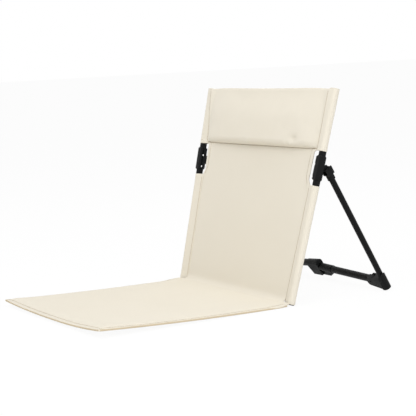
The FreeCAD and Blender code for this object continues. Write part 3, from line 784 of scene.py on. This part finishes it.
MAT_EDGE = 3.2 * MM
MAT_CROWN = 7.4 * MM
FRONT_CROWN = 2.2 * MM
# By side: the left corner, then the right one
CORNER_LIFT = {1: 9.5 * MM, -1: 6.0 * MM}
FRONT_LIFT = 4.5 * MM
MAT_PUCKERS = (72 * MM, 107 * MM)
MAT_PUCKER_DEPTH = 1.5 * MM
EDGE_PUCKER = 0.7 * MM
STITCH_INSET = 6.5 * MM
STITCH_GROOVE = 0.45 * MM
FRONT = MAT_LOW.y + 1.2 * MM
REAR_EDGE = HINGE.y
mat_length = REAR_EDGE - FRONT


def mat_lift(x, y):
    """The front edge stands a little off the floor, and its corners curl up."""
    side = 1 if x > 0 else -1
    ahead = (REAR_EDGE - y) / mat_length
    out = abs(x) / FULL_HALF
    corner_rise = CORNER_LIFT[side] * out**2.4 * max(ahead, 0.0) ** 1.6
    return corner_rise + FRONT_LIFT * max(ahead, 0.0) ** 2.5


def mat_top(x, y):
    """The mat's upper side: crowned, puckered at its edges and drawn in along its stitches."""
    side_gap, front_gap = MAT_HALF - abs(x), y - FRONT
    rear = smooth(REAR_EDGE - y, 0.0, 45 * MM)
    side_rise = 1 - (1 - min(side_gap / (34 * MM), 1.0)) ** 2.2
    front_rise = 1 - (1 - min(front_gap / (20 * MM), 1.0)) ** 2.2
    crown = MAT_CROWN + FRONT_CROWN * bump(front_gap, 22 * MM, 34 * MM)
    z = MAT_EDGE + (crown - MAT_EDGE) * side_rise * front_rise
    z += 0.5 * MM * ripple(x, y, 9, 0.11) * side_rise * front_rise
    pucker = ripple(x * 2.2, 0.0, 11, 0.03) * bump(front_gap, 12 * MM, 9 * MM)
    pucker += ripple(y * 2.2, 0.0, 13, 0.03) * bump(side_gap, 10 * MM, 7 * MM) * 0.5
    z += EDGE_PUCKER * pucker
    for place in MAT_PUCKERS:
        z -= MAT_PUCKER_DEPTH * bump(x, place, 5 * MM) * bump(front_gap, 11 * MM, 6 * MM)
    groove = bump(side_gap, STITCH_INSET, 1.1 * MM) + bump(front_gap, STITCH_INSET, 1.1 * MM)
    z -= STITCH_GROOVE * min(groove, 1.0)
    return HINGE.z + (z - HINGE.z) * rear


broad_across = spread([0.0, 180 * MM, 205 * MM, 214 * MM, 222.4 * MM, MAT_HALF], 6 * MM)
fine_across = [a * MM for a in (208, 211, 216, 217, 217.7, 218.4, 219.2, 220.5)]
across = mirrored(sorted({round(a / FULL_HALF, 5) for a in broad_across + fine_across}))
lines = graded(
    [
        (REAR_EDGE, REAR_EDGE - 12 * MM, 2 * MM),
        (REAR_EDGE - 12 * MM, FRONT + 30 * MM, 6 * MM),
        (FRONT + 30 * MM, FRONT + 12 * MM, 2.5 * MM),
        (FRONT + 12 * MM, FRONT + 2 * MM, 0.9 * MM),
        (FRONT + 2 * MM, FRONT, 1.2 * MM),
    ]
)


def mat_spot(y, a):
    """The mat's top, underside and flat place at a distance along it and a share across it."""
    x = max(min(a * FULL_HALF, MAT_HALF), -MAT_HALF)
    lift = mat_lift(x, y)
    under = (HINGE.z - 2.4 * MM) * (1 - smooth(REAR_EDGE - y, 0.0, 14 * MM))
    top = Vector((x, y, mat_top(x, y) + lift))
    return top, Vector((x, y, under + lift + 0.2 * MM)), (x, y)


mat_rows = grid(reversed(lines), across, mat_spot)
mat = skin("seat_cloth", *mat_rows, "seat", "canvas", cloth, rim=0.3)
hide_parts("seat_mat")


def sweep(name, path, across_dirs, profile, body, material):
    """Runs a closed profile along a path; its first axis lies along the given directions."""
    sections, uvs = [], []
    run = 0.0
    for k, (point, direction) in enumerate(zip(path, across_dirs)):
        if k:
            run += (point - path[k - 1]).length
        sections.append([point + direction * a + Vector((0, 0, 1)) * b for a, b in profile])
        uvs.append([(run, i * 1.2 * MM) for i in range(len(profile))])
    return loft(name, sections, uvs, body, material, close_start=True, close_end=True)


# Outward from the mat's edge, and up
TAPE_PROFILE = [(-2.6 * MM, 3.55 * MM), (-0.4 * MM, 3.45 * MM), (0.7 * MM, 2.9 * MM), (1.05 * MM, 1.8 * MM)]
TAPE_PROFILE += [(0.7 * MM, 0.7 * MM), (-0.4 * MM, 0.1 * MM), (-2.6 * MM, 0.05 * MM)]
TAPE_CORNER = 3.5 * MM
CORNER_STEPS = 6
TAPE_REAR_RISE = 0.8 * MM


def tape_half():
    """The tape's line round one half of the mat, with the direction outward at each point."""
    corner_x, corner_y = MAT_HALF - TAPE_CORNER, FRONT + TAPE_CORNER
    line = [((MAT_HALF, y), (1, 0)) for y in spread([REAR_EDGE - 0.2 * MM, corner_y], 8 * MM)]
    for k in range(1, CORNER_STEPS):
        turn = math.pi / 2 * k / CORNER_STEPS
        cos, sin = math.cos(turn), math.sin(turn)
        line.append(((corner_x + TAPE_CORNER * cos, corner_y - TAPE_CORNER * sin), (cos, -sin)))
    line += [((x, FRONT), (0, -1)) for x in spread([corner_x, 0.0], 8 * MM)]
    return line


half_line = tape_half()
tape_line = half_line + [((-x, y), (-dx, dy)) for (x, y), (dx, dy) in reversed(half_line[:-1])]
points = []
for (x, y), _ in tape_line:
    rise = TAPE_REAR_RISE * (1 - smooth(REAR_EDGE - y, 0.0, 22 * MM))
    points.append(Vector((x, y, mat_lift(x, y) + rise)))
directions = [Vector((dx, dy, 0)) for _, (dx, dy) in tape_line]
binding = sweep("seat_tape", points, directions, TAPE_PROFILE, "seat", tape)
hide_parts("seat_edge_binding")


# Stitching

STITCH = 2.7 * MM
PITCH = 3.3 * MM
THREAD_HALF = 0.55 * MM
RING_INSET = 7.5 * MM


def stitches(name, runs, body):
    """Short lengths of thread, half sunk in the cloth, along lines of points with their normals."""
    vertices, faces = [], []
    for run in runs:
        lengths = [0.0]
        for (a, _), (b, _) in zip(run, run[1:]):
            lengths.append(lengths[-1] + (b - a).length)

        def spot(distance):
            """The point and the normal at a distance along the run."""
            k = min(max(np.searchsorted(lengths, distance), 1), len(run) - 1)
            span = max(lengths[k] - lengths[k - 1], 1e-9)
            share = (distance - lengths[k - 1]) / span
            return run[k - 1][0].lerp(run[k][0], share), run[k][1]

        for number in range(int((lengths[-1] - STITCH) / PITCH)):
            start, normal = spot(number * PITCH)
            end, _ = spot(number * PITCH + STITCH)
            middle = (start + end) / 2
            side = (end - start).cross(normal).normalized() * THREAD_HALF
            lift = normal * THREAD_HALF * 0.8
            first = len(vertices)
            for place, size in ((start, 0.3), (middle, 1.0), (end, 0.3)):
                for step in (side, lift, -side, -lift):
                    vertices.append(place + step * size)
            for ring in (0, 4):
                for k in range(4):
                    a, b = first + ring + k, first + ring + (k + 1) % 4
                    faces.append((a, b, b + 4, a + 4))
            faces.append(tuple(first + k for k in (3, 2, 1, 0)))
            faces.append(tuple(first + k for k in (8, 9, 10, 11)))
    uvs = [(0.0, 0.0)] * len(vertices)
    return link(name, vertices, faces, uvs, body, thread)


def on_panel(x, up):
    """A stitch's place on the panel's front, and the direction it faces."""
    return panel_point(x, up, panel_relief(x, up) + PANEL_HALF + 0.2 * MM), -REAR


def seam_run(low, high, side, upper):
    """The line of thread on a sleeve's flap, beside its seam."""
    run = []
    for up in spread([low, high], 6 * MM):
        seam = Vector(seam_place(up, upper))
        touch = Vector(teardrop(tuple(seam), SLEEVE_RADIUS, 0.0)[FLAP_STEPS])
        along = (touch - seam).normalized()
        place = seam + along * 1.9 * MM
        outward = REAR * -along.x + OUT * along.y
        if side < 0:
            outward = Vector((-outward.x, outward.y, outward.z))
        run.append((at_post(place.x, place.y, up, side) + outward * 0.15 * MM, outward))
    return run


def hem_run(side):
    """The stitch line round a cut-out's hem."""
    inner = CUT_INNER + HEM - 1.4 * MM
    top = CUT_HIGH + 3.6 * MM
    bend = 5.0 * MM
    path = [(SEAM_INSET + 1 * MM, top), (inner - bend, top)]
    for k in range(1, CORNER_STEPS):
        turn = math.pi / 2 * k / CORNER_STEPS
        path.append((inner - bend + bend * math.sin(turn), top - bend + bend * math.cos(turn)))
    path += [(inner, top - bend), (inner, CUT_LOW + CUT_SLOPE + 6 * MM)]
    path += [(inner - 2 * MM, CUT_LOW + CUT_SLOPE), (SEAM_INSET + 1.5 * MM, CUT_LOW - 11 * MM)]
    run = []
    for (inset_a, up_a), (inset_b, up_b) in zip(path, path[1:]):
        for share in (0.0, 0.34, 0.67):
            up = up_a + (up_b - up_a) * share
            run.append(on_panel(side * seam_x(up, inset_a + (inset_b - inset_a) * share), up))
    return run


def sleeve_ring(up, side):
    """The line of thread round a sleeve's hem."""
    run = []
    for k, (x, y) in enumerate(teardrop(seam_place(up, False), SLEEVE_RADIUS + 0.1 * MM, 0.0)):
        if FLAP_STEPS - 1 <= k <= FLAP_STEPS + ROUND_STEPS:
            outward = OUT * x + REAR * y
            outward = Vector((outward.x * side, outward.y, outward.z)).normalized()
            run.append((at_post(x, y, up, side), outward))
    return run


back_runs = [hem_run(side) for side in (1, -1)]
width = seam_x(PAD_LOW, SEAM_INSET) - 1.5 * MM
back_runs.append([on_panel(width * share, PAD_LOW - 1.4 * MM) for share in spread([-1.0, 1.0], 0.03)])
back_thread = stitches("back_stitching", back_runs, "left_post")
for label, side in SIDES.items():
    body = "left_post" if side > 0 else "right_post"
    runs = [
        seam_run(LOWER_START + 2 * MM, LOWER_END - 1 * MM, side, upper=False),
        seam_run(UPPER_START + 1 * MM, BACK_TOP - 3 * MM, side, upper=True),
        sleeve_ring(LOWER_START + RING_INSET, side),
        sleeve_ring(LOWER_END - RING_INSET, side),
        sleeve_ring(UPPER_START + RING_INSET, side),
    ]
    stitches(f"{label}_sleeve_stitching", runs, body)

stitch_x, stitch_y = MAT_HALF - STITCH_INSET, FRONT + STITCH_INSET
edge_run = [(stitch_x, REAR_EDGE - 6 * MM), (stitch_x, stitch_y)]
edge_run += [(-stitch_x, stitch_y), (-stitch_x, REAR_EDGE - 6 * MM)]
seat_run = []
for (xa, ya), (xb, yb) in zip(edge_run, edge_run[1:]):
    for share in spread([0.0, 0.98], 0.02):
        x, y = xa + (xb - xa) * share, ya + (yb - ya) * share
        seat_run.append((Vector((x, y, mat_top(x, y) + mat_lift(x, y) + 0.15 * MM)), Vector((0, 0, 1))))
seat_thread = stitches("seat_stitching", [seat_run], "seat")


# Stage and light

FLOOR_GLOW = 0.94
AMBIENT = 0.55
CENTRE = Vector((0.0, 0.1, 0.2))
LAMPS = {
    "key": ((0.9, -1.2, 2.6), 1.8, 34.0),
    "top": ((-0.6, 0.4, 3.0), 2.4, 20.0),
    "side": ((2.4, 0.3, 0.9), 1.6, 11.0),
}


def seen_rays(tree):
    """1 for the rays that show the backdrop itself, and 0 for those that it lights."""
    rays = add(tree, "ShaderNodeLightPath").outputs
    seen = math_node(tree, "MAXIMUM", rays["Is Camera Ray"], rays["Is Glossy Ray"])
    return math_node(tree, "MAXIMUM", seen, rays["Is Transmission Ray"])


def backdrop_material():
    """White to the camera, and a pale diffuse floor to everything else, so the shadow stays."""
    material, tree, shader = material_nodes("studio_white")
    shader.inputs["Base Color"].default_value = (1, 1, 1, 1)
    shader.inputs["Roughness"].default_value = 1.0
    shader.inputs["Specular IOR Level"].default_value = 0.0
    seen = seen_rays(tree)
    glow = add(tree, "ShaderNodeEmission", {"Color": (1, 1, 1, 1), "Strength": 1.0}).outputs[0]
    share = math_node(tree, "MULTIPLY", seen, FLOOR_GLOW)
    mixed = add(tree, "ShaderNodeMixShader", {0: share, 1: shader.outputs[0], 2: glow})
    output = next(n for n in tree.nodes if n.type == "OUTPUT_MATERIAL")
    tree.links.new(mixed.outputs[0], output.inputs["Surface"])
    return material


def plane(name, size, height, material):
    """A square of the stage."""
    mesh = bpy.data.meshes.new(name)
    mesh.from_pydata(
        [(-size, -size, height), (size, -size, height), (size, size, height), (-size, size, height)],
        [],
        [(0, 1, 2, 3)],
    )
    mesh.materials.append(material)
    obj = bpy.data.objects.new(name, mesh)
    bpy.context.scene.collection.objects.link(obj)


plane("floor", 30.0, -0.3 * MM, backdrop_material())

world = bpy.data.worlds.new("studio")
bpy.context.scene.world = world
world.use_nodes = True
sky_tree = world.node_tree
background = sky_tree.nodes["Background"]
sky_range = {0: seen_rays(sky_tree), 3: AMBIENT, 4: 1.0}
strength = add(sky_tree, "ShaderNodeMapRange", sky_range).outputs[0]
sky_tree.links.new(strength, background.inputs["Strength"])
background.inputs["Color"].default_value = (1, 1, 1, 1)


def area_light(name, place, size, watts):
    """A round lamp that faces the chair."""
    data = bpy.data.lights.new(name, "AREA")
    data.shape = "DISK"
    data.size = size
    data.energy = watts
    lamp = bpy.data.objects.new(name, data)
    lamp.location = place
    aim = CENTRE - Vector(place)
    lamp.rotation_euler = aim.to_track_quat("-Z", "Y").to_euler()
    bpy.context.scene.collection.objects.link(lamp)


for name, (place, size, watts) in LAMPS.items():
    area_light(name, place, size, watts)


# Each cloth piece gets a mesh of its own
for piece in (panel, headrest, back_thread):
    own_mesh(piece)
for piece in (mat, binding, seat_thread):
    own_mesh(piece)
